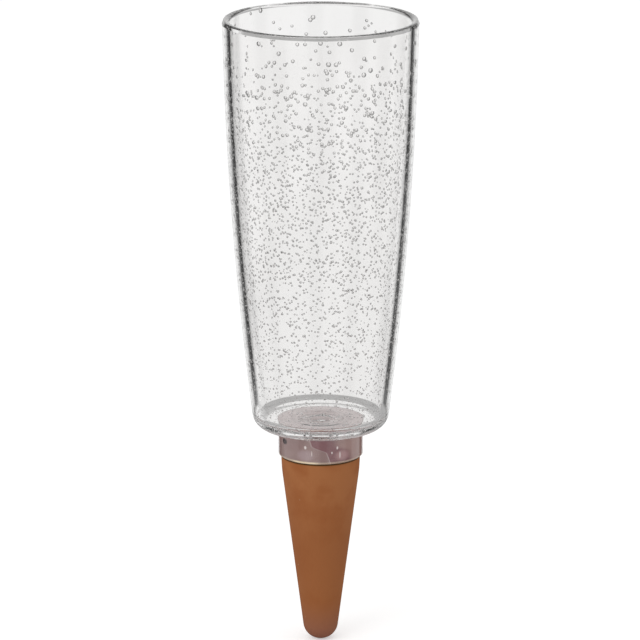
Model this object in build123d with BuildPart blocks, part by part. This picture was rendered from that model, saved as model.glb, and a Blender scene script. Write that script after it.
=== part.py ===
from build123d import *
from math import atan2, pi, tan
import os

os.makedirs("parts", exist_ok=True)

# Self watering spike: a clear cup on a hollow clay cone, bonded together by a collar under the cup's floor.
# The origin is on the axis at the collar's lower edge, where the soil comes up to. Sizes are in millimetres.

# Reservoir cup
rim_diameter = 100.0
cup_height = 213.6          # from the underside to the top of the rim
foot_diameter = 68.9        # where the wall would meet the underside if the corner were sharp
wall_bulge = 2.96           # how far the wall swells out of a straight taper at half height
wall_thickness = 3.8
lip_overhang = 0.2          # how far the lip stands proud of the wall outside
lip_height = 2.2            # of the bevel that runs from the lip up to the rim
lip_lean = 0.9              # how far that bevel leans in
lip_edge_radius = 0.8       # rounds the bevel into the top of the rim
rim_round_share = 0.74      # of the rim's width, taken up by the round into the inside
floor_thickness = 5.7
foot_corner_radius = 8.0
inner_corner_radius = 3.6
outlet_diameter = 12.0
dish_diameter = 21.4
dish_angle = 154.0          # included angle of the dish that drains to the outlet, in degrees

# Socket collar
collar_diameter = 43.7
collar_height = 14.6
collar_wall = 1.15
collar_edge_break = 0.4

# Adhesive
glue_gap = 0.3              # between the cone's neck and the collar
bead_width = 0.9
bead_height = 0.7
bedding_thickness = 0.6
bedding_spread = 0.5        # how far the bedding is squeezed out past the collar
bedding_squeeze = 3.8       # and how far it is squeezed in past the cone's bore
recess_clearance = 0.35     # round the bedding, in its recess in the floor

# Clay cone
cone_length = 101.1         # from the collar's lower edge to the tip
neck_below_collar = 6.3     # the neck's straight side, before the taper
shoulder_radius = 90.0      # rounds the neck into the taper
tip_diameter = 16.05        # where the taper would end if the tip were cut off square
tip_flat_diameter = 0.6     # the flat that the tip's round leaves
cone_bore = 29.2
cavity_tip_diameter = 6.8
cavity_tip_radius = 3.0
tip_thickness = 9.0
neck_edge_break = 0.6

# Heights
underside_z = collar_height
floor_z = underside_z + floor_thickness
rim_z = underside_z + cup_height
lip_z = rim_z - lip_height
brim_z = lip_z - lip_overhang
mouth_z = rim_z - wall_thickness
shoulder_z = -neck_below_collar
tip_z = -cone_length
cavity_tip_z = tip_z + tip_thickness

# Radii
lip_radius = rim_diameter / 2
rim_radius = lip_radius - lip_lean
foot_radius = foot_diameter / 2
brim_radius = lip_radius - lip_overhang
mouth_radius = brim_radius - wall_thickness
rim_edge_radius = rim_round_share * (rim_radius - mouth_radius)
belly_radius = (foot_radius + brim_radius) / 2 + wall_bulge
belly_z = (underside_z + brim_z) / 2
outlet_radius = outlet_diameter / 2
dish_radius = dish_diameter / 2
collar_radius = collar_diameter / 2
collar_bore_radius = collar_radius - collar_wall
neck_radius = collar_bore_radius - glue_gap
bedding_radius = collar_radius + bedding_spread
recess_radius = bedding_radius + recess_clearance
cone_bore_radius = cone_bore / 2
bedding_bore_radius = cone_bore_radius - bedding_squeeze
tip_edge_radius = tip_diameter / 2
taper_angle = atan2(neck_radius - tip_edge_radius, shoulder_z - tip_z)
tip_radius = (tip_edge_radius - tip_flat_diameter / 2) * tan(pi / 4 + taper_angle / 2)


# The cup's outside is one long arc, rounded at the foot, with a bevelled lip round the top. The inside is a
# wall's thickness in from it, from a wide round at the rim to a thick floor that is dished round the outlet.
with BuildPart() as reservoir_cup:
    with BuildSketch(Plane.XZ):
        with BuildLine():
            outer_wall = ThreePointArc(
                (foot_radius, underside_z),
                (belly_radius, belly_z),
                (brim_radius, brim_z),
            )
            Polyline(outer_wall @ 1, (lip_radius, lip_z), (rim_radius, rim_z), (0, rim_z))
            Polyline((0, rim_z), (0, underside_z), outer_wall @ 0)
        make_face()
    revolve(axis=Axis.Z)
    fillet(reservoir_cup.edges().group_by(Axis.Z)[0], radius=foot_corner_radius)

    with BuildSketch(Plane.XZ):
        with BuildLine():
            inner_wall = ThreePointArc(
                (foot_radius - wall_thickness, underside_z),
                (belly_radius - wall_thickness, belly_z),
                (mouth_radius, mouth_z),
            )
            Polyline(inner_wall @ 1, (mouth_radius, rim_z), (0, rim_z), (0, underside_z), inner_wall @ 0)
        make_face()
        with Locations((0, underside_z)):
            Rectangle(foot_diameter, 2 * floor_thickness, mode=Mode.SUBTRACT)
    revolve(axis=Axis.Z, mode=Mode.SUBTRACT)
    inside_floor = reservoir_cup.faces().filter_by(Plane.XY).sort_by(Axis.Z)[1]
    fillet(inside_floor.edges(), radius=inner_corner_radius)
    rim_edges = reservoir_cup.edges().group_by(Axis.Z)[-1]
    fillet(rim_edges.sort_by(SortBy.RADIUS)[-1], radius=lip_edge_radius)
    rim_edges = reservoir_cup.edges().group_by(Axis.Z)[-1]
    fillet(rim_edges.sort_by(SortBy.RADIUS)[0], radius=rim_edge_radius)

    with BuildSketch(Plane.XY.offset(underside_z)):
        Circle(recess_radius)
    extrude(amount=bedding_thickness, mode=Mode.SUBTRACT)
    with Locations((0, 0, floor_z)):
        CounterSinkHole(outlet_radius, dish_radius, counter_sink_angle=dish_angle)

# The collar is a plain ring that butts against the underside.
with BuildPart() as socket_collar:
    with BuildSketch(Plane.XY):
        Circle(collar_radius)
        Circle(collar_bore_radius, mode=Mode.SUBTRACT)
    extrude(amount=collar_height)
    lower_edges = socket_collar.edges().group_by(Axis.Z)[0]
    chamfer(lower_edges.sort_by(SortBy.RADIUS)[-1], length=collar_edge_break)

# The bedding fills a shallow recess in the floor, over the tops of the collar and the cone.
with BuildPart() as bedding_ring:
    with BuildSketch(Plane.XY.offset(underside_z)):
        Circle(bedding_radius)
        Circle(bedding_bore_radius, mode=Mode.SUBTRACT)
    extrude(amount=bedding_thickness)

# The sleeve of adhesive round the neck ends in a bead, wiped flat, under the collar.
with BuildPart() as neck_adhesive:
    with BuildSketch(Plane.XY):
        Circle(collar_bore_radius)
        Circle(neck_radius, mode=Mode.SUBTRACT)
    extrude(amount=collar_height)
    with BuildSketch(Plane.XZ):
        with BuildLine():
            Polyline((neck_radius, -bead_height), (neck_radius, 0), (neck_radius + bead_width, 0), close=True)
        make_face()
    revolve(axis=Axis.Z)

# The cone has a straight neck for the collar, a long taper with a round tip, and a cavity that follows it.
with BuildPart() as clay_cone:
    with BuildSketch(Plane.XZ):
        with BuildLine():
            Polyline(
                (0, collar_height),
                (neck_radius, collar_height),
                (neck_radius, shoulder_z),
                (tip_edge_radius, tip_z),
                (0, tip_z),
                close=True,
            )
        make_face()
    revolve(axis=Axis.Z)
    fillet(clay_cone.faces().sort_by(Axis.Z)[0].edges(), radius=tip_radius)
    shoulder_edges = clay_cone.edges().filter_by(GeomType.CIRCLE).group_by(Axis.Z)[-2]
    fillet(shoulder_edges, radius=shoulder_radius)

    with BuildSketch(Plane.XZ):
        with BuildLine():
            Polyline(
                (0, collar_height),
                (cone_bore_radius, collar_height),
                (cone_bore_radius, shoulder_z),
                (cavity_tip_diameter / 2, cavity_tip_z),
                (0, cavity_tip_z),
                close=True,
            )
        make_face()
    revolve(axis=Axis.Z, mode=Mode.SUBTRACT)
    level_faces = clay_cone.faces().filter_by(Plane.XY).sort_by(Axis.Z)
    fillet(level_faces[-2].edges(), radius=cavity_tip_radius)
    chamfer(clay_cone.edges().group_by(Axis.Z)[-1], length=neck_edge_break)

pieces = {
    "reservoir_cup": reservoir_cup,
    "socket_collar": socket_collar,
    "bedding_ring": bedding_ring,
    "neck_adhesive": neck_adhesive,
    "clay_cone": clay_cone,
}
for name, piece in pieces.items():
    piece.part.label = name
    export_step(piece.part, f"parts/{name}.step")
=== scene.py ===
from math import asin, atan2, cos, pi, radians, sin, sqrt, tan

import bmesh
import bpy
from bpy.props import FloatProperty, FloatVectorProperty, IntProperty, PointerProperty
from bpy.types import NodeSocket, Operator, Panel, PropertyGroup
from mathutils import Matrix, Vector


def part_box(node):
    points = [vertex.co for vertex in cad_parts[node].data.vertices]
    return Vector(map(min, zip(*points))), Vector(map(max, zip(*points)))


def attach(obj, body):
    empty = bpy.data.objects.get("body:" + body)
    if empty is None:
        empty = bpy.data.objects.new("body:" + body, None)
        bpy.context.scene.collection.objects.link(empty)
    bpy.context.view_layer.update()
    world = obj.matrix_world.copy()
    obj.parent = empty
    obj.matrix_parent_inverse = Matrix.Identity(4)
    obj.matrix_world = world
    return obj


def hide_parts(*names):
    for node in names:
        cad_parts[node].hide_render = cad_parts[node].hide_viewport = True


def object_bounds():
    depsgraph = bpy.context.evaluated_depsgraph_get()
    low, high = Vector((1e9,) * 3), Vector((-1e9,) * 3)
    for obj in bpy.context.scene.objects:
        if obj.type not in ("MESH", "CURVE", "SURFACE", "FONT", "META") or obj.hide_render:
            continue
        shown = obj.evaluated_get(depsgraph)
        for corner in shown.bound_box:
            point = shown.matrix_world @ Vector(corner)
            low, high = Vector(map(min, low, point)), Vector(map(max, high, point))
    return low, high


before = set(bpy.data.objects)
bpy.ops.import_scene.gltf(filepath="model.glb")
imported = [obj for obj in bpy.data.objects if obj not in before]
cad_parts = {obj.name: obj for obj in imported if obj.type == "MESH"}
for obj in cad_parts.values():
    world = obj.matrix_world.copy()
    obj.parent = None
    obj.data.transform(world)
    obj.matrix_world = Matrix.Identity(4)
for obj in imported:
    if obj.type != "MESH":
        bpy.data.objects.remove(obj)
cad_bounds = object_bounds()

bl_info = {
    "name": "Self Watering Spike",
    "version": (1, 0, 0),
    "blender": (4, 5, 0),
    "location": "View3D > Sidebar > Spike",
    "description": "Builds a bubbled clear cup on a terracotta spike, with its stage",
    "category": "Object",
}

MM = 0.001
BODY = "root"

# Meshes
SEGMENTS = 176              # round each turned piece
FOOT_STEPS = 14             # this and the next seven are steps along an arc of an outline
WALL_STEPS = 30
LIP_STEPS = 10
RIM_STEPS = 14
CORNER_STEPS = 10
TIP_STEPS = 20
SHOULDER_STEPS = 14
CAVITY_STEPS = 8
POLE_RADIUS = 1e-7          # a point nearer the axis than this is a pole
SHARP_ANGLE = radians(20)
EDGE_SUPPORT = 0.15 * MM    # a flat face's support rings stand this far from its edges
CONTACT_GAP = 0.02 * MM     # between touching pieces, or their overlap where adhesive wets the plastic

# Bubbles
BUBBLE_BED = "bubble_bed"   # on each face, the share of the bubbles' density that lies behind it
BUBBLE_RADIUS = "bubble_radius"
UNDERSIDE_NORMAL = -0.99    # a face whose normal is lower than this is on the underside
RADIUS_SPREAD = (0.5, 1.12)     # least and greatest share of the usual radius
LARGE_BUBBLE = 0.8 * MM     # bubbles of a greater radius get a finer ball
BALL_SEGMENTS = 8
BALL_RINGS = 5
RADIUS_DRAW = 1.0           # this and the next are added to the seed, for draws of their own
INSET_DRAW = 2.0

# Sockets of nodes that have a set of them for each kind of data
MIX_COLOURS = (6, 7)
MIX_RESULT = 2
RANDOM_LOW, RANDOM_HIGH = 2, 3
RANDOM_RESULT = 1

# What clear plastic sees of the studio: a white room over a grey floor with white cards on it, and pairs of upright
# dark flags, one either side of a heading. Headings are from +X towards +Y, and all of these are in degrees.
GREY_ELEVATION = -19.5      # the grey reaches up to here
GREY_EDGE = 1.5             # half the width of its soft edge
GROUND_ELEVATION = -60.0    # the paler ground under the object reaches up to here
GROUND_EDGE = 6.0
CARDS = (
    {"heading": 135, "half_width": 19, "range": (-34, -20), "edge": 3},
    {"heading": 90, "half_width": 17, "range": (-47, -35), "edge": 1.5},
)
FLAGS = (
    {"heading": 180, "level": "side_flag_level"},
    {"heading": 315, "level": "side_flag_level"},
    {"heading": 90, "level": "flag_level"},
)
FLAG_SPAN = (27, 48)        # from a heading to a flag's two edges
FLAG_RANGE = (-20.7, 60)    # elevations of its lower and upper edges
FLAG_EDGE = 5.0             # half the width of its soft upright edges
FLAG_END = 0.7              # half the width of its soft lower and upper edges

# Detail of the noises in the materials, and of those that are plainer
NOISE_DETAIL = 3.0
CLOUD_DETAIL = 2.0
SPECKLED_DETAIL = 1.0

# Clear plastic
PLASTIC_IOR = 1.49
CLOUD_SCALE = 22.0
CLOUD_RANGE = (0.45, 0.75)  # of the noise, from clear to clouded
COLLAR_HAZE = 0.96          # share of the collar's tint where it is clouded

# The clay, with heights above the collar's lower edge unless they are from something else
BLOTCH_SCALE = 55.0
BLOTCH_RANGE = (0.38, 0.66)         # of the noise, from the clay to the darker clay
LOWER_RANGE = (-12 * MM, -50 * MM)  # heights over which the lower clay comes in
LOWER_SHARE = 0.7
BLOOM_HEIGHT = 25 * MM              # of the bloom, above the tip
BLOOM_SHARE = 0.85
SPECK_SCALE = 260.0
SPECK_RANGE = (0.16, 0.08)          # distances from the middle of a speck
SPECK_SHARE = 0.7
SPECKLED_SCALE = 90.0               # of the noise that chooses where there are specks
SPECKLED_RANGE = (0.62, 0.7)
# Painted shade: a dark line on the clay just under the bead, where the collar's overhang shades it
NECK_SHADE_RANGE = (1.0 * MM, 0.1 * MM)  # depths below the bead over which the painted shade under the collar comes in
NECK_SHADE_SHARE = 0.95
SMEAR_AND_LIGHT_REACH = (0.5 * MM, 0.3 * MM)  # distances outside the bore over which the smear, painted paler as light, comes in
SMEAR_AND_LIGHT_RANGE = (-16 * MM, -6 * MM)   # heights over which it comes in
GRAIN_SCALES = (900.0, 120.0)       # of the two noises in the surface
GRAIN_STRENGTH = 0.12
GRAIN_DEPTH = 0.4 * MM
CLAY_ROUGHNESS = 0.92
CLAY_SPECULAR = 0.2

# The bedding, with painted shade in a dark crescent at the cone's bore and one at its own inner edge. Each comes in
# over distances from its line and over degrees from the front, between a least and a greatest share.
BEDDING_SCALE = 140.0
BEDDING_RANGE = (0.3, 0.7)          # of the noise that mottles it
BEDDING_MOTTLE = 0.85               # share of its colour in the mottles
BEDDING_SHADE = 0.04                 # share of its colour in the crescents of painted shade
BEDDING_ROUGHNESS = 0.5
BORE_SHADE_CRESCENT = {"reach": (1.4 * MM, 0.7 * MM), "turn": (50, 28), "share": (0.12, 0.95)}
EDGE_SHADE_CRESCENT = {"reach": (1.7 * MM, 1.0 * MM), "turn": (30, 12), "share": (0.25, 1.0)}

# The sleeve, with angles in degrees from the front towards +X and heights above the collar's lower edge. A flow line
# leans across it, with a step, and parts its dry side from its wet side.
SLEEVE_SCALE = 90.0
SLEEVE_RANGE = (0.35, 0.65)         # of the noise that mottles it
SLEEVE_ROUGHNESS = 0.45
FLOW_LEAN = {"height": (14.6 * MM, 0.0), "turn": (-18, -4)}
FLOW_STEP = {"height": (9.5 * MM, 5.5 * MM), "turn": (0, 18)}
FLOW_LINE = (1.1, 0.2)              # the line's soft edge, either side of its middle
FLOW_SHARE = 0.3
WARM_TURN = (12, 38)                # the dry side turns warm over these
WET_START = (-0.6, 0.8)             # the wet side comes in over these, from the flow line
WET_END = (26, 42)                  # and goes out over these
WET_REST = 0.1                      # share of it that is left
FILL_HEIGHT = (1.0 * MM, 0.5 * MM)  # the bead's colour comes in over these
FILL_LEFT = (-50, -34)              # and is strong between these and the next
FILL_RIGHT = (3, -12)
FILL_REST = 0.4                     # share of it elsewhere
# painted shade along the bead's lower edge, under the collar, comes in over these heights
BEAD_SHADE_HEIGHT = (-0.15 * MM, -0.3 * MM)

# What else shows of the sleeve through the collar: painted highlights at small voids, painted shade in a pocket, and
# patches where it is thinner. Their heights are in millimetres.
SPOT_SOFTNESS = 0.5
SLEEVE_VOID_HIGHLIGHTS = (
    {"turn": -22.0, "height": 8.4, "half_turn": 1.7, "half_height": 0.9},
    {"turn": 24.0, "height": 8.2, "half_turn": 1.3, "half_height": 0.8},
    {"turn": 28.0, "height": 4.3, "half_turn": 0.8, "half_height": 1.8},
    {"turn": 16.0, "height": 5.8, "half_turn": 0.9, "half_height": 0.6},
    {"turn": -12.5, "height": 5.4, "half_turn": 0.5, "half_height": 1.4},
)
SLEEVE_POCKET_SHADE = {"turn": -60.0, "height": 9.2, "half_turn": 5.5, "half_height": 1.5}
PATCH_SOFTNESS = 0.95
SLEEVE_PATCHES = (
    {"turn": -22.0, "height": 4.0, "half_turn": 11.0, "half_height": 2.8, "tone": "pale"},
    {"turn": 32.0, "height": 3.9, "half_turn": 10.0, "half_height": 2.5, "tone": "pink"},
)


def size(name, description, default):
    """A length that a user can change."""
    return FloatProperty(name=name, description=description, default=default, min=0.0, precision=5, unit="LENGTH")


def colour(name, description, default):
    """A colour that a user can change."""
    return FloatVectorProperty(
        name=name, description=description, default=default, size=3, min=0.0, max=1.0, subtype="COLOR"
    )


class CupSettings(PropertyGroup):
    """The clear cup."""

    wall: size("Wall", "Thickness of the wall", 3.8 * MM)
    bulge: size("Bulge", "How far the wall swells out of a straight taper", 2.96 * MM)
    foot_diameter: size("Foot Diameter", "Where the wall would meet the underside", 68.9 * MM)
    foot_corner: size("Foot Corner", "Radius round the foot", 8.0 * MM)
    floor: size("Floor", "Thickness of the floor", 5.7 * MM)
    inner_corner: size("Inner Corner", "Radius between the floor and the wall inside", 3.6 * MM)
    lip_overhang: size("Lip Overhang", "How far the lip stands out of the wall", 0.2 * MM)
    lip_height: size("Lip Height", "Height of the bevel from the lip to the rim", 2.2 * MM)
    lip_lean: size("Lip Lean", "How far the bevel leans in", 0.9 * MM)
    lip_edge: size("Lip Edge", "Radius of the rim's outer edge", 0.8 * MM)
    rim_edge: size("Rim Edge", "Radius of the rim's inner edge", 2.29 * MM)
    outlet_diameter: size("Outlet Diameter", "Hole in the middle of the floor", 12.0 * MM)
    dish_diameter: size("Dish Diameter", "Dish round the outlet", 21.4 * MM)
    dish_angle: FloatProperty(
        name="Dish Angle", description="Included angle of the dish", default=radians(154), subtype="ANGLE"
    )
    recess_clearance: size("Recess Clearance", "Room round the bedding in its recess", 0.35 * MM)
    tint: colour("Tint", "Colour of the plastic", (0.985, 0.98, 0.975))
    haze: colour("Haze", "Colour of the plastic where it is clouded", (0.955, 0.95, 0.945))


class BubbleSettings(PropertyGroup):
    """The bubbles in the cup's wall and floor."""

    seed: IntProperty(name="Seed", description="Changes where the bubbles lie", default=4)
    density: FloatProperty(name="Density", description="Bubbles in a square metre", default=108000.0, min=0.0)
    brim_share: FloatProperty(
        name="Brim Share", description="Share of the density at the lip", default=0.12, subtype="FACTOR"
    )
    foot_share: FloatProperty(
        name="Foot Share", description="Share of the density at the foot", default=0.7, subtype="FACTOR"
    )
    brim_depth: size("Brim Depth", "The density rises from here down", 25 * MM)
    full_depth: size("Full Depth", "The density is full from here", 66 * MM)
    thin_depth: size("Thin Depth", "The density falls from here to the foot", 130 * MM)
    large_depth: size("Large Depth", "Bubbles shrink from here down", 28 * MM)
    middle_depth: size("Middle Depth", "Bubbles are of middle size here", 62 * MM)
    floor_share: FloatProperty(
        name="Floor Share", description="Density in the floor, as a share", default=2.5, min=0.0
    )
    large_radius: size("Large Radius", "Near the lip", 1.22 * MM)
    middle_radius: size("Middle Radius", "Below the upper third", 0.76 * MM)
    small_radius: size("Small Radius", "At the foot", 0.56 * MM)
    skin: size("Skin", "Least plastic over a bubble", 0.1 * MM)
    flatness: FloatProperty(
        name="Flatness", description="Share of its width that a large bubble is deep", default=0.36, subtype="FACTOR"
    )
    roundness: FloatProperty(
        name="Roundness", description="Share of its width that a small bubble is deep", default=0.85, subtype="FACTOR"
    )


class JointSettings(PropertyGroup):
    """The collar and the adhesive that join the cup and the cone."""

    collar_wall: size("Collar Wall", "Thickness of the collar's wall", 1.15 * MM)
    collar_edge: size("Collar Edge", "Chamfer round the collar's lower edge", 0.4 * MM)
    bedding_squeeze: size("Bedding Squeeze", "How far the bedding reaches in past the cone's bore", 3.8 * MM)
    collar_tint: colour("Collar Tint", "Colour of the collar's plastic", (0.97, 0.955, 0.955))
    dry: colour("Dry", "The sleeve's dry side", (0.327, 0.221, 0.207))
    middle: colour("Middle", "The sleeve where it is mottled", (0.295, 0.192, 0.182))
    pale: colour("Pale", "The sleeve where it is thin", (0.405, 0.298, 0.303))
    pink: colour("Pink", "The sleeve where it is thin and warm", (0.42, 0.24, 0.24))
    warm: colour("Warm", "The sleeve towards the right", (0.405, 0.26, 0.233))
    wet: colour("Wet", "The sleeve's wet side", (0.239, 0.11, 0.119))
    # Painted highlight where the voids catch light, and also the flow line's own paler colour
    void: colour("Void", "Voids and the flow line in the sleeve", (0.78, 0.7, 0.68))
    # Painted shade inside a pocket in the sleeve
    pocket: colour("Pocket", "A pocket that lets the dark in", (0.03, 0.01, 0.012))
    # The bead's cream colour, painted paler than it is as painted light, since it faces down under the collar
    bead: colour("Bead", "The bead under the collar", (0.88, 0.76, 0.56))
    # Painted shade on the bead's lower edge, under the collar
    shadowed: colour("Soaked", "The bead's lower edge", (0.05, 0.03, 0.008))
    bedding: colour("Bedding", "The layer under the floor", (0.62, 0.535, 0.53))


class ConeSettings(PropertyGroup):
    """The terracotta cone."""

    neck_below_collar: size("Neck Below Collar", "The neck's straight side under the collar", 6.3 * MM)
    shoulder_radius: size("Shoulder Radius", "Rounds the neck into the taper", 90 * MM)
    tip_diameter: size("Tip Diameter", "Where the taper would end if it were cut off square", 16.05 * MM)
    tip_flat: size("Tip Flat", "Diameter of the flat at the tip", 0.6 * MM)
    bore: size("Bore", "Diameter of the cavity's straight part", 29.2 * MM)
    cavity_tip_diameter: size("Cavity Tip Diameter", "Where the cavity's taper ends", 6.8 * MM)
    cavity_tip_radius: size("Cavity Tip Radius", "Rounds the cavity's end", 3.0 * MM)
    tip_thickness: size("Tip Thickness", "Clay under the cavity", 9.0 * MM)
    neck_edge: size("Neck Edge", "Chamfer round the neck's rim", 0.6 * MM)
    clay: colour("Clay", "The fired clay", (0.395, 0.15, 0.054))
    clay_dark: colour("Dark Clay", "Darker blotches", (0.34, 0.113, 0.036))
    clay_low: colour("Lower Clay", "The clay of the lower half", (0.325, 0.112, 0.037))
    bloom: colour("Bloom", "Greyer clay towards the tip", (0.287, 0.121, 0.077))
    speck: colour("Speck", "Pale grains", (0.42, 0.22, 0.12))
    # Painted shade on the clay just under the collar's bead
    neck_shade: colour("Stain", "Clay that the adhesive has soaked", (0.045, 0.028, 0.008))
    # A pale adhesive smear on the bore's upper wall, painted paler still as painted light, since little light reaches
    # the cavity
    smear_and_painted_light: colour("Smear", "Adhesive on the bore's upper wall", (0.93, 0.84, 0.83))


class StageSettings(PropertyGroup):
    """The floor, the light and the camera."""

    camera_distance: FloatProperty(
        name="Camera Distance", description="From the axis", default=2.00213, unit="LENGTH"
    )
    camera_height: FloatProperty(
        name="Camera Height", description="Above the collar's lower edge", default=0.60064, unit="LENGTH"
    )
    camera_pitch: FloatProperty(
        name="Camera Pitch", description="Below the level", default=radians(14.817), subtype="ANGLE"
    )
    camera_turn: FloatProperty(
        name="Camera Turn", description="Off the axis, to the left", default=radians(0.0093), subtype="ANGLE"
    )
    focal_length: FloatProperty(name="Focal Length", description="In millimetres", default=226.6, min=1.0)
    floor_size: FloatProperty(name="Floor Size", description="Side of the floor", default=30.0, unit="LENGTH")
    floor_colour: colour("Floor Colour", "The pale floor", (0.82, 0.82, 0.82))
    floor_glow: FloatProperty(
        name="Floor Glow", description="Brings the floor to white for the camera", default=0.42, min=0.0
    )
    ambient: FloatProperty(name="Ambient", description="Level light on matt surfaces", default=0.72, min=0.0)
    white_level: FloatProperty(
        name="White Level", description="White that clear plastic sees", default=0.91, min=0.0
    )
    grey_level: FloatProperty(
        name="Grey Level", description="Grey floor that clear plastic sees", default=0.43, min=0.0
    )
    ground_level: FloatProperty(
        name="Ground Level", description="Ground under the object that clear plastic sees", default=0.66, min=0.0
    )
    flag_level: FloatProperty(name="Flag Level", description="Black of the main flags", default=0.015, min=0.0)
    side_flag_level: FloatProperty(
        name="Side Flag Level", description="Grey of the other flags", default=0.3, min=0.0
    )
    key_place: FloatVectorProperty(
        name="Key Place", description="Where the soft lamp stands", default=(-1.3, -1.5, 1.3), size=3, unit="LENGTH"
    )
    key_power: FloatProperty(name="Key Power", description="Power of the soft lamp", default=11.0, unit="POWER")
    key_size: FloatProperty(name="Key Size", description="Side of the soft lamp", default=1.4, unit="LENGTH")
    deep_bounces: IntProperty(
        name="Deep Bounces", description="Of light through clear plastic and in all", default=32, min=0
    )
    glossy_bounces: IntProperty(name="Glossy Bounces", description="Of light off glossy faces", default=16, min=0)


class SpikeSettings(PropertyGroup):
    """All the settings of the watering spike."""

    cup: PointerProperty(type=CupSettings)
    bubbles: PointerProperty(type=BubbleSettings)
    joint: PointerProperty(type=JointSettings)
    cone: PointerProperty(type=ConeSettings)
    stage: PointerProperty(type=StageSettings)


def node_radius(node):
    """The radius of a turned CAD node, from its box."""
    low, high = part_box(node)
    return min(high.x, high.y, -low.x, -low.y)


def arc(centre, radius, start, end, steps):
    """Points of an arc, both ends included."""
    angles = [start + (end - start) * k / steps for k in range(steps + 1)]
    return [centre + radius * Vector((cos(angle), sin(angle))) for angle in angles]


def straight(*corners):
    """Points of straight lines between corners, with support points beside each corner."""
    points = [corners[0]]
    for start, end in zip(corners, corners[1:]):
        step = (end - start).normalized() * EDGE_SUPPORT
        points += [start + step, end - step, end]
    return points


def circle_through(a, b, c):
    """The centre and the radius of the circle through three points."""
    ab, ac = b - a, c - a
    double_area = 2 * ab.cross(ac)
    offset = Vector((
        ac.y * ab.length_squared - ab.y * ac.length_squared,
        ab.x * ac.length_squared - ac.x * ab.length_squared,
    )) / double_area
    return a + offset, offset.length


def corner_centre(wall_centre, wall_radius, corner_radius, level):
    """The centre of the round that runs from a level line into the inside of a wall's arc."""
    height = level + corner_radius
    reach = sqrt((wall_radius - corner_radius) ** 2 - (height - wall_centre.y) ** 2)
    return Vector((wall_centre.x + reach, height))


def line_angle(start, end):
    """The angle of the line from start to end."""
    return atan2(end.y - start.y, end.x - start.x)


def turned_piece(name, outline):
    """An object turned round the axis from a closed outline of (radius, height) points."""
    vertices = []
    rings = []
    for radius, height in outline:
        count = SEGMENTS if radius > POLE_RADIUS else 1
        rings.append([len(vertices) + k % count for k in range(SEGMENTS + 1)])
        turns = [2 * pi * k / SEGMENTS for k in range(count)]
        vertices += [(radius * cos(turn), radius * sin(turn), height) for turn in turns]
    faces = []
    for lower, upper in zip(rings, rings[1:] + rings[:1]):
        for k in range(SEGMENTS):
            corners = list(dict.fromkeys((lower[k], lower[k + 1], upper[k + 1], upper[k])))
            if len(corners) > 2:
                faces.append(corners)
    mesh = bpy.data.meshes.new(name)
    mesh.from_pydata(vertices, [], faces)
    closed = bmesh.new()
    closed.from_mesh(mesh)
    bmesh.ops.recalc_face_normals(closed, faces=closed.faces)
    closed.to_mesh(mesh)
    closed.free()
    mesh.shade_smooth()
    mesh.set_sharp_from_angle(angle=SHARP_ANGLE)
    piece = bpy.data.objects.new(name, mesh)
    bpy.context.scene.collection.objects.link(piece)
    return piece


def hand_over(piece, slot, *nodes):
    """Puts a finished piece on the object's body, in place of its CAD nodes."""
    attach(piece, BODY)
    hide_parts(*nodes)


def add_node(tree, kind, inputs, **settings):
    """A node with its settings made and its inputs linked or set."""
    node = tree.nodes.new(kind)
    for name, value in settings.items():
        setattr(node, name, value)
    for key, value in inputs.items():
        if isinstance(value, NodeSocket):
            tree.links.new(value, node.inputs[key])
        else:
            node.inputs[key].default_value = value
    return node


def math_node(tree, operation, *values):
    """The result of a sum on values and sockets."""
    return add_node(tree, "ShaderNodeMath", dict(enumerate(values)), operation=operation).outputs[0]


def ramp(tree, value, low, high, start, end, smooth=False):
    """A value that goes from start to end as another goes from low to high."""
    inputs = {"Value": value, "From Min": low, "From Max": high, "To Min": start, "To Max": end}
    curve = "SMOOTHSTEP" if smooth else "LINEAR"
    return add_node(tree, "ShaderNodeMapRange", inputs, interpolation_type=curve).outputs["Result"]


def blend(tree, factor, first, second):
    """A colour between two colours."""
    colours = [value if isinstance(value, NodeSocket) else (*value, 1.0) for value in (first, second)]
    inputs = {0: factor, **dict(zip(MIX_COLOURS, colours))}
    return add_node(tree, "ShaderNodeMix", inputs, data_type="RGBA").outputs[MIX_RESULT]


def noise(tree, place, scale, detail=NOISE_DETAIL):
    """A cloudy value about one half."""
    inputs = {"Vector": place, "Scale": scale, "Detail": detail}
    return add_node(tree, "ShaderNodeTexNoise", inputs).outputs["Fac"]


def split(tree, vector):
    """The three parts of a vector."""
    return add_node(tree, "ShaderNodeSeparateXYZ", {0: vector}).outputs


def distance_from_axis(tree, x, y):
    """How far a place lies from the object's axis."""
    squares = math_node(tree, "MULTIPLY_ADD", x, x, math_node(tree, "MULTIPLY", y, y))
    return math_node(tree, "SQRT", squares)


def angle_from_front(tree, x, y):
    """The angle of a place round the object's axis, from the front towards +X."""
    return math_node(tree, "ARCTAN2", x, math_node(tree, "MULTIPLY", y, -1.0))


def new_material(name):
    """A material, its nodes, its shader and the place of the shaded point on the piece."""
    material = bpy.data.materials.new(name)
    material.use_nodes = True
    tree = material.node_tree
    place = add_node(tree, "ShaderNodeTexCoord", {}).outputs["Object"]
    return material, tree, tree.nodes["Principled BSDF"], place


def clear_plastic(name, tint, haze):
    """Clear moulded plastic, a little clouded in places."""
    material, tree, shader, place = new_material(name)
    cloud = ramp(tree, noise(tree, place, CLOUD_SCALE, CLOUD_DETAIL), *CLOUD_RANGE, 0.0, 1.0, smooth=True)
    tree.links.new(blend(tree, cloud, tint, haze), shader.inputs["Base Color"])
    shader.inputs["Transmission Weight"].default_value = 1.0
    shader.inputs["IOR"].default_value = PLASTIC_IOR
    shader.inputs["Roughness"].default_value = 0.0
    return material


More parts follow.
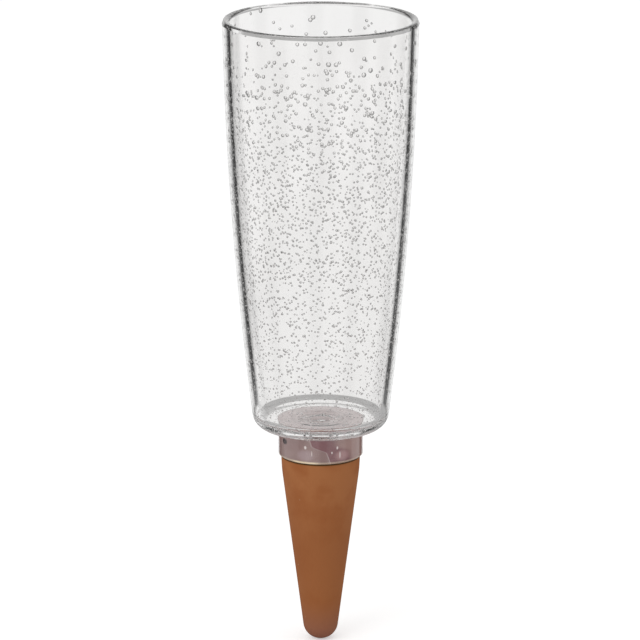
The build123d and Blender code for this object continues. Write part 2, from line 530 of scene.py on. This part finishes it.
def terracotta(cone):
    """Matt fired clay with soft blotches, pale grains and a greyer tip."""
    material, tree, shader, place = new_material("Terracotta")
    x, y, height = split(tree, place)
    blotch = ramp(tree, noise(tree, place, BLOTCH_SCALE), *BLOTCH_RANGE, 0.0, 1.0, smooth=True)
    base = blend(tree, blotch, cone.clay, cone.clay_dark)
    lower = ramp(tree, height, *LOWER_RANGE, 0.0, LOWER_SHARE, smooth=True)
    base = blend(tree, lower, base, cone.clay_low)
    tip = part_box("clay_cone")[0].z
    bloom = ramp(tree, height, tip + BLOOM_HEIGHT, tip, 0.0, BLOOM_SHARE, smooth=True)
    base = blend(tree, bloom, base, cone.bloom)
    specks = add_node(tree, "ShaderNodeTexVoronoi", {"Vector": place, "Scale": SPECK_SCALE}).outputs["Distance"]
    speckled = ramp(tree, noise(tree, place, SPECKLED_SCALE, SPECKLED_DETAIL), *SPECKLED_RANGE, 0.0, 1.0)
    speck = math_node(tree, "MULTIPLY", ramp(tree, specks, *SPECK_RANGE, 0.0, SPECK_SHARE), speckled)
    base = blend(tree, speck, base, cone.speck)
    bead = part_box("neck_adhesive")[0].z
    # Painted shade: a dark line on the clay just under the bead, where the collar's overhang shades it
    neck_shade_start, neck_shade_end = [bead - depth for depth in NECK_SHADE_RANGE]
    neck_shade = ramp(tree, height, neck_shade_start, neck_shade_end, 0.0, NECK_SHADE_SHARE, smooth=True)
    base = blend(tree, neck_shade, base, cone.neck_shade)
    # Pale adhesive smear in the bore, painted paler still as painted light for the dim cavity
    smear_and_light_start, smear_and_light_end = [cone.bore / 2 + reach for reach in SMEAR_AND_LIGHT_REACH]
    in_bore = ramp(tree, distance_from_axis(tree, x, y), smear_and_light_start, smear_and_light_end, 0.0, 1.0)
    smear_and_painted_light = math_node(tree, "MULTIPLY", in_bore, ramp(tree, height, *SMEAR_AND_LIGHT_RANGE, 0.0, 1.0, smooth=True))
    tree.links.new(blend(tree, smear_and_painted_light, base, cone.smear_and_painted_light), shader.inputs["Base Color"])
    grain = math_node(tree, "ADD", *[noise(tree, place, scale) for scale in GRAIN_SCALES])
    bump = add_node(
        tree, "ShaderNodeBump", {"Height": grain, "Strength": GRAIN_STRENGTH, "Distance": GRAIN_DEPTH}
    )
    tree.links.new(bump.outputs["Normal"], shader.inputs["Normal"])
    shader.inputs["Roughness"].default_value = CLAY_ROUGHNESS
    shader.inputs["Specular IOR Level"].default_value = CLAY_SPECULAR
    return material


def bedding_adhesive(joint, inside, bore):
    """Pale adhesive, squeezed thin and mottled, with painted shade in crescents at the cone's bore and its inner edge.
    """
    material, tree, shader, place = new_material("Bedding adhesive")
    x, y, _ = split(tree, place)
    reach = distance_from_axis(tree, x, y)
    turn = math_node(tree, "ABSOLUTE", angle_from_front(tree, x, y))
    mottle = ramp(tree, noise(tree, place, BEDDING_SCALE), *BEDDING_RANGE, 0.0, 1.0, smooth=True)
    mottled, dark = [
        [share * channel for channel in joint.bedding] for share in (BEDDING_MOTTLE, BEDDING_SHADE)
    ]
    base = blend(tree, mottle, joint.bedding, mottled)
    off_bore = math_node(tree, "ABSOLUTE", math_node(tree, "SUBTRACT", reach, bore))
    off_edge = math_node(tree, "SUBTRACT", reach, inside)
    # Painted shade: dark crescents on the bedding's front, at the cone's bore and at its inner edge
    for distance, crescent in ((off_bore, BORE_SHADE_CRESCENT), (off_edge, EDGE_SHADE_CRESCENT)):
        turns = [radians(angle) for angle in crescent["turn"]]
        near = ramp(tree, distance, *crescent["reach"], 0.0, 1.0, smooth=True)
        share = ramp(tree, turn, *turns, *crescent["share"], smooth=True)
        base = blend(tree, math_node(tree, "MULTIPLY", near, share), base, dark)
    tree.links.new(base, shader.inputs["Base Color"])
    shader.inputs["Roughness"].default_value = BEDDING_ROUGHNESS
    return material


def spot(tree, turn, height, place, softness=SPOT_SOFTNESS):
    """A mask that is 1 in a soft-edged spot on a sleeve, whose angle and height are given."""
    across = math_node(tree, "SUBTRACT", turn, radians(place["turn"]))
    across = math_node(tree, "DIVIDE", across, radians(place["half_turn"]))
    along = math_node(tree, "SUBTRACT", height, place["height"] * MM)
    along = math_node(tree, "DIVIDE", along, place["half_height"] * MM)
    distance = math_node(
        tree, "ADD", math_node(tree, "MULTIPLY", across, across), math_node(tree, "MULTIPLY", along, along)
    )
    return ramp(tree, distance, 1.0 + softness, 1.0 - softness, 0.0, 1.0, smooth=True)


def sleeve_adhesive(joint):
    """Adhesive round the neck: a flow line parts its wet side from its dry side, and its bead is paler."""
    material, tree, shader, place = new_material("Sleeve adhesive")
    x, y, height = split(tree, place)
    turn = angle_from_front(tree, x, y)

    def between(angle, span, start, end):
        """A share that changes softly between two angles."""
        return ramp(tree, angle, radians(span[0]), radians(span[1]), start, end, smooth=True)

    lean = ramp(tree, height, *FLOW_LEAN["height"], *[radians(angle) for angle in FLOW_LEAN["turn"]])
    step = ramp(tree, height, *FLOW_STEP["height"], *[radians(angle) for angle in FLOW_STEP["turn"]], smooth=True)
    side = math_node(tree, "SUBTRACT", turn, math_node(tree, "ADD", lean, step))

    mottle = ramp(tree, noise(tree, place, SLEEVE_SCALE), *SLEEVE_RANGE, 0.0, 1.0, smooth=True)
    body = blend(tree, mottle, joint.dry, joint.middle)
    body = blend(tree, between(turn, WARM_TURN, 0.0, 1.0), body, joint.warm)
    wet = math_node(tree, "MULTIPLY", between(side, WET_START, 0.0, 1.0), between(side, WET_END, 1.0, WET_REST))
    body = blend(tree, wet, body, joint.wet)
    for patch in SLEEVE_PATCHES:
        body = blend(tree, spot(tree, turn, height, patch, PATCH_SOFTNESS), body, getattr(joint, patch["tone"]))
    line = between(math_node(tree, "ABSOLUTE", side), FLOW_LINE, 0.0, FLOW_SHARE)
    body = blend(tree, line, body, joint.void)
    # Painted highlights where voids in the sleeve catch light
    for void in SLEEVE_VOID_HIGHLIGHTS:
        body = blend(tree, spot(tree, turn, height, void), body, joint.void)
    # Painted shade inside a pocket in the sleeve
    body = blend(tree, spot(tree, turn, height, SLEEVE_POCKET_SHADE), body, joint.pocket)
    # The bead's cream colour, painted paler as painted light where it faces down under the collar
    fill = ramp(tree, height, *FILL_HEIGHT, 0.0, 1.0, smooth=True)
    for span in (FILL_RIGHT, FILL_LEFT):
        fill = math_node(tree, "MULTIPLY", fill, between(turn, span, FILL_REST, 1.0))
    body = blend(tree, fill, body, joint.bead)
    # Painted shade along the bead's lower edge, under the collar
    shadowed = ramp(tree, height, *BEAD_SHADE_HEIGHT, 0.0, 1.0)
    tree.links.new(blend(tree, shadowed, body, joint.shadowed), shader.inputs["Base Color"])
    shader.inputs["Roughness"].default_value = SLEEVE_ROUGHNESS
    return material


def bubble_tree(material):
    """Geometry nodes that put round voids into the plastic behind the marked faces."""
    tree = bpy.data.node_groups.new("Bubbles", "GeometryNodeTree")
    sockets = tree.interface
    sockets.new_socket("Geometry", in_out="OUTPUT", socket_type="NodeSocketGeometry")
    sockets.new_socket("Shell", in_out="INPUT", socket_type="NodeSocketGeometry")
    sockets.new_socket("Seed", in_out="INPUT", socket_type="NodeSocketInt")
    numbers = (
        "Density", "Brim Share", "Foot Share", "Brim Depth", "Full Depth", "Thin Depth", "Large Depth", "Middle Depth",
        "Large Radius", "Middle Radius", "Small Radius", "Skin", "Flatness", "Roundness", "Wall", "Rim Level",
        "Cup Height",
    )
    for name in numbers:
        sockets.new_socket(name, in_out="INPUT", socket_type="NodeSocketFloat")
    given = tree.nodes.new("NodeGroupInput").outputs

    place = add_node(tree, "GeometryNodeInputPosition", {}).outputs[0]
    height = split(tree, place)["Z"]
    depth = math_node(tree, "SUBTRACT", given["Rim Level"], height)
    from_brim = ramp(tree, depth, given["Brim Depth"], given["Full Depth"], given["Brim Share"], 1.0)
    to_foot = ramp(tree, depth, given["Thin Depth"], given["Cup Height"], 1.0, given["Foot Share"])
    share = math_node(tree, "MULTIPLY", from_brim, to_foot)
    bed = add_node(
        tree, "GeometryNodeInputNamedAttribute", {"Name": BUBBLE_BED}, data_type="FLOAT"
    ).outputs["Attribute"]
    density = math_node(tree, "MULTIPLY", given["Density"], math_node(tree, "MULTIPLY", share, bed))
    scatter = add_node(
        tree,
        "GeometryNodeDistributePointsOnFaces",
        {"Mesh": given["Shell"], "Density": density, "Seed": given["Seed"]},
        distribute_method="RANDOM",
    )

    def chance(low, high, offset):
        """A random value for each bubble."""
        seed = math_node(tree, "ADD", given["Seed"], offset)
        inputs = {RANDOM_LOW: low, RANDOM_HIGH: high, "Seed": seed}
        return add_node(tree, "FunctionNodeRandomValue", inputs, data_type="FLOAT").outputs[RANDOM_RESULT]

    upper = ramp(
        tree, depth, given["Large Depth"], given["Middle Depth"], given["Large Radius"], given["Middle Radius"]
    )
    shrink = math_node(tree, "SUBTRACT", given["Small Radius"], given["Middle Radius"])
    lower = ramp(tree, depth, given["Middle Depth"], given["Cup Height"], 0.0, shrink)
    usual = math_node(tree, "ADD", upper, lower)
    varied = math_node(tree, "MULTIPLY", usual, chance(*RADIUS_SPREAD, RADIUS_DRAW))
    room = math_node(tree, "MULTIPLY_ADD", given["Wall"], 0.5, math_node(tree, "MULTIPLY", given["Skin"], -1.0))
    radius = math_node(tree, "MINIMUM", varied, room)
    least = math_node(tree, "ADD", radius, given["Skin"])
    most = math_node(tree, "SUBTRACT", given["Wall"], least)
    inset = ramp(tree, chance(0.0, 1.0, INSET_DRAW), 0.0, 1.0, least, most)
    inward = math_node(tree, "MULTIPLY", inset, -1.0)
    offset = add_node(
        tree, "ShaderNodeVectorMath", {0: scatter.outputs["Normal"], "Scale": inward}, operation="SCALE"
    )
    points = add_node(
        tree,
        "GeometryNodeStoreNamedAttribute",
        {"Geometry": scatter.outputs["Points"], "Name": BUBBLE_RADIUS, "Value": radius},
        data_type="FLOAT",
        domain="POINT",
    ).outputs[0]
    moved = add_node(
        tree, "GeometryNodeSetPosition", {"Geometry": points, "Offset": offset.outputs[0]}
    ).outputs[0]
    kept = add_node(
        tree, "GeometryNodeInputNamedAttribute", {"Name": BUBBLE_RADIUS}, data_type="FLOAT"
    ).outputs["Attribute"]
    is_large = add_node(tree, "FunctionNodeCompare", {0: kept, 1: LARGE_BUBBLE}, operation="GREATER_THAN").outputs[0]
    is_small = add_node(tree, "FunctionNodeBooleanMath", {0: is_large}, operation="NOT").outputs[0]

    thickness = ramp(
        tree, kept, given["Small Radius"], given["Middle Radius"], given["Roundness"], given["Flatness"]
    )
    depth_wise = math_node(tree, "MULTIPLY", kept, thickness)
    shape_of = add_node(tree, "ShaderNodeCombineXYZ", {"X": kept, "Y": kept, "Z": depth_wise}).outputs[0]
    joined = tree.nodes.new("GeometryNodeJoinGeometry")
    ball = add_node(
        tree, "GeometryNodeMeshUVSphere", {"Segments": BALL_SEGMENTS, "Rings": BALL_RINGS, "Radius": 1.0}
    )
    grain = add_node(tree, "GeometryNodeMeshIcoSphere", {"Subdivisions": 1, "Radius": 1.0})
    for shape, wanted in ((ball, is_large), (grain, is_small)):
        void = add_node(tree, "GeometryNodeFlipFaces", {0: shape.outputs["Mesh"]}).outputs[0]
        smooth = add_node(tree, "GeometryNodeSetShadeSmooth", {0: void}).outputs[0]
        placed = add_node(
            tree,
            "GeometryNodeInstanceOnPoints",
            {
                "Points": moved,
                "Selection": wanted,
                "Instance": smooth,
                "Rotation": scatter.outputs["Rotation"],
                "Scale": shape_of,
            },
        )
        tree.links.new(placed.outputs[0], joined.inputs[0])
    tree.links.new(given["Shell"], joined.inputs[0])
    real = add_node(tree, "GeometryNodeRealizeInstances", {0: joined.outputs[0]}).outputs[0]
    painted = add_node(tree, "GeometryNodeSetMaterial", {0: real, "Material": material}).outputs[0]
    add_node(tree, "NodeGroupOutput", {0: painted})
    return tree


def cup_outline(cup):
    """The cup's section from the foot up the outside, over the lip, down the inside and out by the outlet.

    Also returns how many of its points lie on the outside, up to the lip.
    """
    low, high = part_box("reservoir_cup")
    underside, top = low.z, high.z
    lip = node_radius("reservoir_cup")
    brim = lip - cup.lip_overhang
    mouth = brim - cup.wall
    lip_level = top - cup.lip_height
    brim_level = lip_level - cup.lip_overhang
    foot = cup.foot_diameter / 2
    belly = (foot + brim) / 2 + cup.bulge
    outer, wall_radius = circle_through(
        Vector((foot, underside)), Vector((belly, (underside + brim_level) / 2)), Vector((brim, brim_level))
    )
    inner = outer - Vector((cup.wall, 0))
    floor = underside + cup.floor
    foot_round = corner_centre(outer, wall_radius, cup.foot_corner, underside)
    floor_round = corner_centre(inner, wall_radius, cup.inner_corner, floor)
    wall_end = asin((brim_level - outer.y) / wall_radius)

    bedding_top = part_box("bedding_ring")[1].z
    outlet = cup.outlet_diameter / 2
    dish = cup.dish_diameter / 2
    dish_level = floor - (dish - outlet) / tan(cup.dish_angle / 2)
    recess = node_radius("bedding_ring") + cup.recess_clearance
    outside = arc(foot_round, cup.foot_corner, -pi / 2, line_angle(outer, foot_round), FOOT_STEPS)
    outside += arc(outer, wall_radius, line_angle(outer, foot_round), wall_end, WALL_STEPS)[1:]
    bevel_tilt = atan2(cup.lip_lean, cup.lip_height)
    edge_reach = lip - cup.lip_lean - cup.lip_edge * tan(pi / 4 - bevel_tilt / 2)
    edge = arc(Vector((edge_reach, top - cup.lip_edge)), cup.lip_edge, bevel_tilt, pi / 2, LIP_STEPS)
    rim = straight(outside[-1], Vector((lip, lip_level)), edge[0])[1:-1] + edge
    rim += arc(Vector((mouth + cup.rim_edge, top - cup.rim_edge)), cup.rim_edge, pi / 2, pi, RIM_STEPS)
    inside = arc(inner, wall_radius, wall_end, line_angle(inner, floor_round), WALL_STEPS)[:-1]
    inside += arc(floor_round, cup.inner_corner, line_angle(inner, floor_round), -pi / 2, CORNER_STEPS)
    bottom = straight(
        inside[-1],
        Vector((dish, floor)),
        Vector((outlet, dish_level)),
        Vector((outlet, bedding_top)),
        Vector((dish, bedding_top)),
        Vector((recess, bedding_top)),
        Vector((recess, underside)),
        outside[0],
    )
    return outside + rim + inside + bottom[1:-1], len(outside)


class SPIKE_OT_cup(Operator):
    """Build the clear cup with its bubbles"""

    bl_idname = "spike.cup"
    bl_label = "Cup"

    def execute(self, context):
        spike = context.scene.spike
        cup, bubbles = spike.cup, spike.bubbles
        outline, outside_count = cup_outline(cup)
        piece = turned_piece("cup", outline)
        bed = piece.data.attributes.new(BUBBLE_BED, "FLOAT", "FACE")
        wall_faces = (outside_count - 1) * SEGMENTS
        dish = cup.dish_diameter / 2
        for face, share in zip(piece.data.polygons, bed.data):
            if face.index < wall_faces:
                share.value = 1.0
            elif face.normal.z < UNDERSIDE_NORMAL and face.center.xy.length > dish:
                share.value = bubbles.floor_share

        tree = bubble_tree(clear_plastic("Bubbled plastic", cup.tint, cup.haze))
        low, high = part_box("reservoir_cup")
        values = {
            "Seed": bubbles.seed,
            "Density": bubbles.density,
            "Brim Share": bubbles.brim_share,
            "Foot Share": bubbles.foot_share,
            "Brim Depth": bubbles.brim_depth,
            "Full Depth": bubbles.full_depth,
            "Thin Depth": bubbles.thin_depth,
            "Large Depth": bubbles.large_depth,
            "Middle Depth": bubbles.middle_depth,
            "Large Radius": bubbles.large_radius,
            "Middle Radius": bubbles.middle_radius,
            "Small Radius": bubbles.small_radius,
            "Skin": bubbles.skin,
            "Flatness": bubbles.flatness,
            "Roundness": bubbles.roundness,
            "Wall": cup.wall,
            "Rim Level": high.z,
            "Cup Height": high.z - low.z,
        }
        filling = piece.modifiers.new("Bubbles", "NODES")
        filling.node_group = tree
        for socket in tree.interface.items_tree:
            if socket.in_out == "INPUT" and socket.name in values:
                filling[socket.identifier] = values[socket.name]
        evaluated = piece.evaluated_get(context.evaluated_depsgraph_get())
        mesh = bpy.data.meshes.new_from_object(evaluated)
        piece.modifiers.remove(filling)
        piece.data = mesh
        piece.visible_diffuse = False
        piece.visible_shadow = False
        hand_over(piece, "bubbled_plastic", "reservoir_cup")
        return {"FINISHED"}


class SPIKE_OT_collar(Operator):
    """Build the clear collar under the cup"""

    bl_idname = "spike.collar"
    bl_label = "Collar"

    def execute(self, context):
        joint = context.scene.spike.joint
        low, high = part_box("socket_collar")
        outside = node_radius("socket_collar")
        bore = outside - joint.collar_wall
        top = high.z - CONTACT_GAP
        corners = [
            Vector((bore, low.z)),
            Vector((outside - joint.collar_edge, low.z)),
            Vector((outside, low.z + joint.collar_edge)),
            Vector((outside, top)),
            Vector((bore, top)),
            Vector((bore, low.z)),
        ]
        piece = turned_piece("collar", straight(*corners)[:-1])
        haze = [COLLAR_HAZE * channel for channel in joint.collar_tint]
        piece.data.materials.append(clear_plastic("Collar plastic", joint.collar_tint, haze))
        piece.visible_diffuse = False
        piece.visible_shadow = False
        hand_over(piece, "clear_plastic", "socket_collar")
        return {"FINISHED"}


class SPIKE_OT_adhesive(Operator):
    """Build the bedding under the floor and the sleeve round the neck"""

    bl_idname = "spike.adhesive"
    bl_label = "Adhesive"

    def execute(self, context):
        spike = context.scene.spike
        joint = spike.joint
        low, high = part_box("bedding_ring")
        inside = spike.cone.bore / 2 - joint.bedding_squeeze
        outside = node_radius("bedding_ring")
        top = high.z + CONTACT_GAP
        corners = [
            Vector((inside, low.z)),
            Vector((outside, low.z)),
            Vector((outside, top)),
            Vector((inside, top)),
            Vector((inside, low.z)),
        ]
        bedding = turned_piece("bedding", straight(*corners)[:-1])
        bedding.data.materials.append(bedding_adhesive(joint, inside, spike.cone.bore / 2))
        hand_over(bedding, "adhesive", "bedding_ring")

        low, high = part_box("neck_adhesive")
        collar_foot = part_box("socket_collar")[0].z - CONTACT_GAP
        neck = node_radius("clay_cone")
        face = node_radius("socket_collar") - joint.collar_wall + CONTACT_GAP
        corners = [
            Vector((neck, low.z)),
            Vector((node_radius("neck_adhesive"), collar_foot)),
            Vector((face, collar_foot)),
            Vector((face, high.z - CONTACT_GAP)),
            Vector((neck, high.z - CONTACT_GAP)),
            Vector((neck, low.z)),
        ]
        sleeve = turned_piece("sleeve", straight(*corners)[:-1])
        sleeve.data.materials.append(sleeve_adhesive(joint))
        hand_over(sleeve, "adhesive", "neck_adhesive")
        return {"FINISHED"}


class SPIKE_OT_cone(Operator):
    """Build the hollow terracotta cone"""

    bl_idname = "spike.cone"
    bl_label = "Cone"

    def execute(self, context):
        cone = context.scene.spike.cone
        low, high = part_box("clay_cone")
        neck = node_radius("clay_cone")
        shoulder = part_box("socket_collar")[0].z - cone.neck_below_collar
        tip_edge = cone.tip_diameter / 2
        taper = atan2(neck - tip_edge, shoulder - low.z)
        tip_flat = cone.tip_flat / 2
        tip_radius = (tip_edge - tip_flat) * tan(pi / 4 + taper / 2)
        tip_round = Vector((tip_flat, low.z + tip_radius))
        shoulder_round = Vector((neck - cone.shoulder_radius, shoulder + cone.shoulder_radius * tan(taper / 2)))

        bore = cone.bore / 2
        cavity_edge = cone.cavity_tip_diameter / 2
        cavity_end = low.z + cone.tip_thickness
        cavity_taper = atan2(bore - cavity_edge, shoulder - cavity_end)
        cavity_flat = cavity_edge - cone.cavity_tip_radius / tan(pi / 4 + cavity_taper / 2)
        cavity_round = Vector((cavity_flat, cavity_end + cone.cavity_tip_radius))

        outline = [Vector((0, low.z))]
        outline += arc(tip_round, tip_radius, -pi / 2, -taper, TIP_STEPS)
        outline += arc(shoulder_round, cone.shoulder_radius, -taper, 0, SHOULDER_STEPS)
        outline += straight(
            outline[-1],
            Vector((neck, high.z - cone.neck_edge)),
            Vector((neck - cone.neck_edge, high.z)),
            Vector((bore + cone.neck_edge, high.z)),
            Vector((bore, high.z - cone.neck_edge)),
            Vector((bore, shoulder)),
        )[1:]
        outline += arc(cavity_round, cone.cavity_tip_radius, -cavity_taper, -pi / 2, CAVITY_STEPS)
        outline.append(Vector((0, cavity_end)))
        piece = turned_piece("cone", outline)
        piece.data.materials.append(terracotta(cone))
        hand_over(piece, "terracotta", "clay_cone")
        return {"FINISHED"}


def studio_world(stage):
    """White for the camera, level light for matt surfaces, and a room with cards and flags for clear plastic."""
    world = bpy.data.worlds.new("Studio")
    world.use_nodes = True
    tree = world.node_tree
    direction = add_node(tree, "ShaderNodeTexCoord", {}).outputs["Generated"]
    x, y, z = split(tree, direction)
    turn = math_node(tree, "ARCTAN2", y, x)

    def rise(elevation, edge, start, end):
        """A level that changes softly at an elevation."""
        low, high = sin(radians(elevation - edge)), sin(radians(elevation + edge))
        return ramp(tree, z, low, high, start, end, smooth=True)

    def upright(towards, half_width, edge, span, span_edge):
        """A mask of an upright strip round a heading."""
        nearness = math_node(tree, "COSINE", math_node(tree, "SUBTRACT", turn, radians(towards)))
        sides = [cos(radians(half_width + edge)), cos(radians(half_width - edge))]
        strip = ramp(tree, nearness, *sides, 0.0, 1.0, smooth=True)
        tall = math_node(tree, "MULTIPLY", rise(span[0], span_edge, 0.0, 1.0), rise(span[1], span_edge, 1.0, 0.0))
        return math_node(tree, "MULTIPLY", strip, tall)

    studio = rise(GREY_ELEVATION, GREY_EDGE, stage.grey_level, stage.white_level)
    under = rise(GROUND_ELEVATION, GROUND_EDGE, 1.0, 0.0)
    studio = ramp(tree, under, 0.0, 1.0, studio, stage.ground_level)
    for card in CARDS:
        mask = upright(card["heading"], card["half_width"], card["edge"], card["range"], card["edge"])
        studio = ramp(tree, mask, 0.0, 1.0, studio, stage.white_level)
    for pair in FLAGS:
        inside, outside = [upright(pair["heading"], reach, FLAG_EDGE, FLAG_RANGE, FLAG_END) for reach in FLAG_SPAN]
        mask = math_node(tree, "SUBTRACT", outside, inside)
        studio = ramp(tree, mask, 0.0, 1.0, studio, getattr(stage, pair["level"]))

    ray = add_node(tree, "ShaderNodeLightPath", {}).outputs
    through = math_node(tree, "MAXIMUM", ray["Is Glossy Ray"], ray["Is Transmission Ray"])
    seen = ramp(tree, through, 0.0, 1.0, stage.ambient, studio)
    level = ramp(tree, ray["Is Camera Ray"], 0.0, 1.0, seen, 1.0)
    tree.links.new(level, tree.nodes["Background"].inputs["Strength"])
    tree.nodes["Background"].inputs["Color"].default_value = (1.0, 1.0, 1.0, 1.0)
    return world


def floor_material(stage):
    """A matt pale floor that reaches white for the camera and keeps the shadow."""
    material, tree, shader, place = new_material("Pale floor")
    shader.inputs["Base Color"].default_value = (*stage.floor_colour, 1.0)
    shader.inputs["Roughness"].default_value = 1.0
    shader.inputs["Specular IOR Level"].default_value = 0.0
    shader.inputs["Emission Color"].default_value = (1.0, 1.0, 1.0, 1.0)
    camera_ray = add_node(tree, "ShaderNodeLightPath", {}).outputs["Is Camera Ray"]
    glow = math_node(tree, "MULTIPLY", camera_ray, stage.floor_glow)
    tree.links.new(glow, shader.inputs["Emission Strength"])
    return material


def add_lamp(name, place, target, power, side):
    """A soft square lamp that lights surfaces and isn't seen in the plastic."""
    light = bpy.data.lights.new(name, "AREA")
    light.energy = power
    light.size = side
    lamp = bpy.data.objects.new(name, light)
    lamp.location = place
    lamp.rotation_euler = (target - place).to_track_quat("-Z", "Y").to_euler()
    lamp.visible_glossy = False
    lamp.visible_transmission = False
    bpy.context.scene.collection.objects.link(lamp)


class SPIKE_OT_stage(Operator):
    """Build the floor, the light and the camera"""

    bl_idname = "spike.stage"
    bl_label = "Stage"

    def execute(self, context):
        scene = context.scene
        stage = scene.spike.stage
        half = stage.floor_size / 2
        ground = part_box("clay_cone")[0].z
        mesh = bpy.data.meshes.new("floor")
        corners = [(-half, -half, ground), (half, -half, ground), (half, half, ground), (-half, half, ground)]
        mesh.from_pydata(corners, [], [(0, 1, 2, 3)])
        mesh.materials.append(floor_material(stage))
        floor = bpy.data.objects.new("floor", mesh)
        floor.visible_glossy = False
        floor.visible_transmission = False
        scene.collection.objects.link(floor)

        scene.world = studio_world(stage)
        middle = (cad_bounds[0] + cad_bounds[1]) / 2
        add_lamp("Key lamp", Vector(stage.key_place), middle, stage.key_power, stage.key_size)

        lens = bpy.data.cameras.new("Camera")
        lens.lens = stage.focal_length
        camera = bpy.data.objects.new("Camera", lens)
        camera.location = (0.0, -stage.camera_distance, stage.camera_height)
        camera.rotation_euler = (pi / 2 - stage.camera_pitch, 0.0, stage.camera_turn)
        scene.collection.objects.link(camera)
        scene.camera = camera
        scene.view_settings.view_transform = "Standard"
        scene.cycles.max_bounces = stage.deep_bounces
        scene.cycles.transmission_bounces = stage.deep_bounces
        scene.cycles.glossy_bounces = stage.glossy_bounces
        return {"FINISHED"}


class SPIKE_PT_panel(Panel):
    """Lists the steps and the settings of the watering spike"""

    bl_idname = "SPIKE_PT_panel"
    bl_label = "Watering Spike"
    bl_space_type = "VIEW_3D"
    bl_region_type = "UI"
    bl_category = "Spike"

    def draw(self, context):
        spike = context.scene.spike
        for step in STEPS:
            self.layout.operator(step.bl_idname)
        for group in (spike.cup, spike.bubbles, spike.joint, spike.cone, spike.stage):
            box = self.layout.box()
            for name in group.__annotations__:
                box.prop(group, name)


STEPS = (SPIKE_OT_cup, SPIKE_OT_collar, SPIKE_OT_adhesive, SPIKE_OT_cone, SPIKE_OT_stage)
CLASSES = (
    CupSettings,
    BubbleSettings,
    JointSettings,
    ConeSettings,
    StageSettings,
    SpikeSettings,
    *STEPS,
    SPIKE_PT_panel,
)


def register():
    for cls in CLASSES:
        bpy.utils.register_class(cls)
    bpy.types.Scene.spike = PointerProperty(type=SpikeSettings)


def unregister():
    del bpy.types.Scene.spike
    for cls in reversed(CLASSES):
        bpy.utils.unregister_class(cls)


def main():
    """Builds every piece and the stage."""
    register()
    bpy.ops.spike.cup()
    bpy.ops.spike.collar()
    bpy.ops.spike.adhesive()
    bpy.ops.spike.cone()
    bpy.ops.spike.stage()
    bpy.context.view_layer.update()


if __name__ == "__main__":
    main()
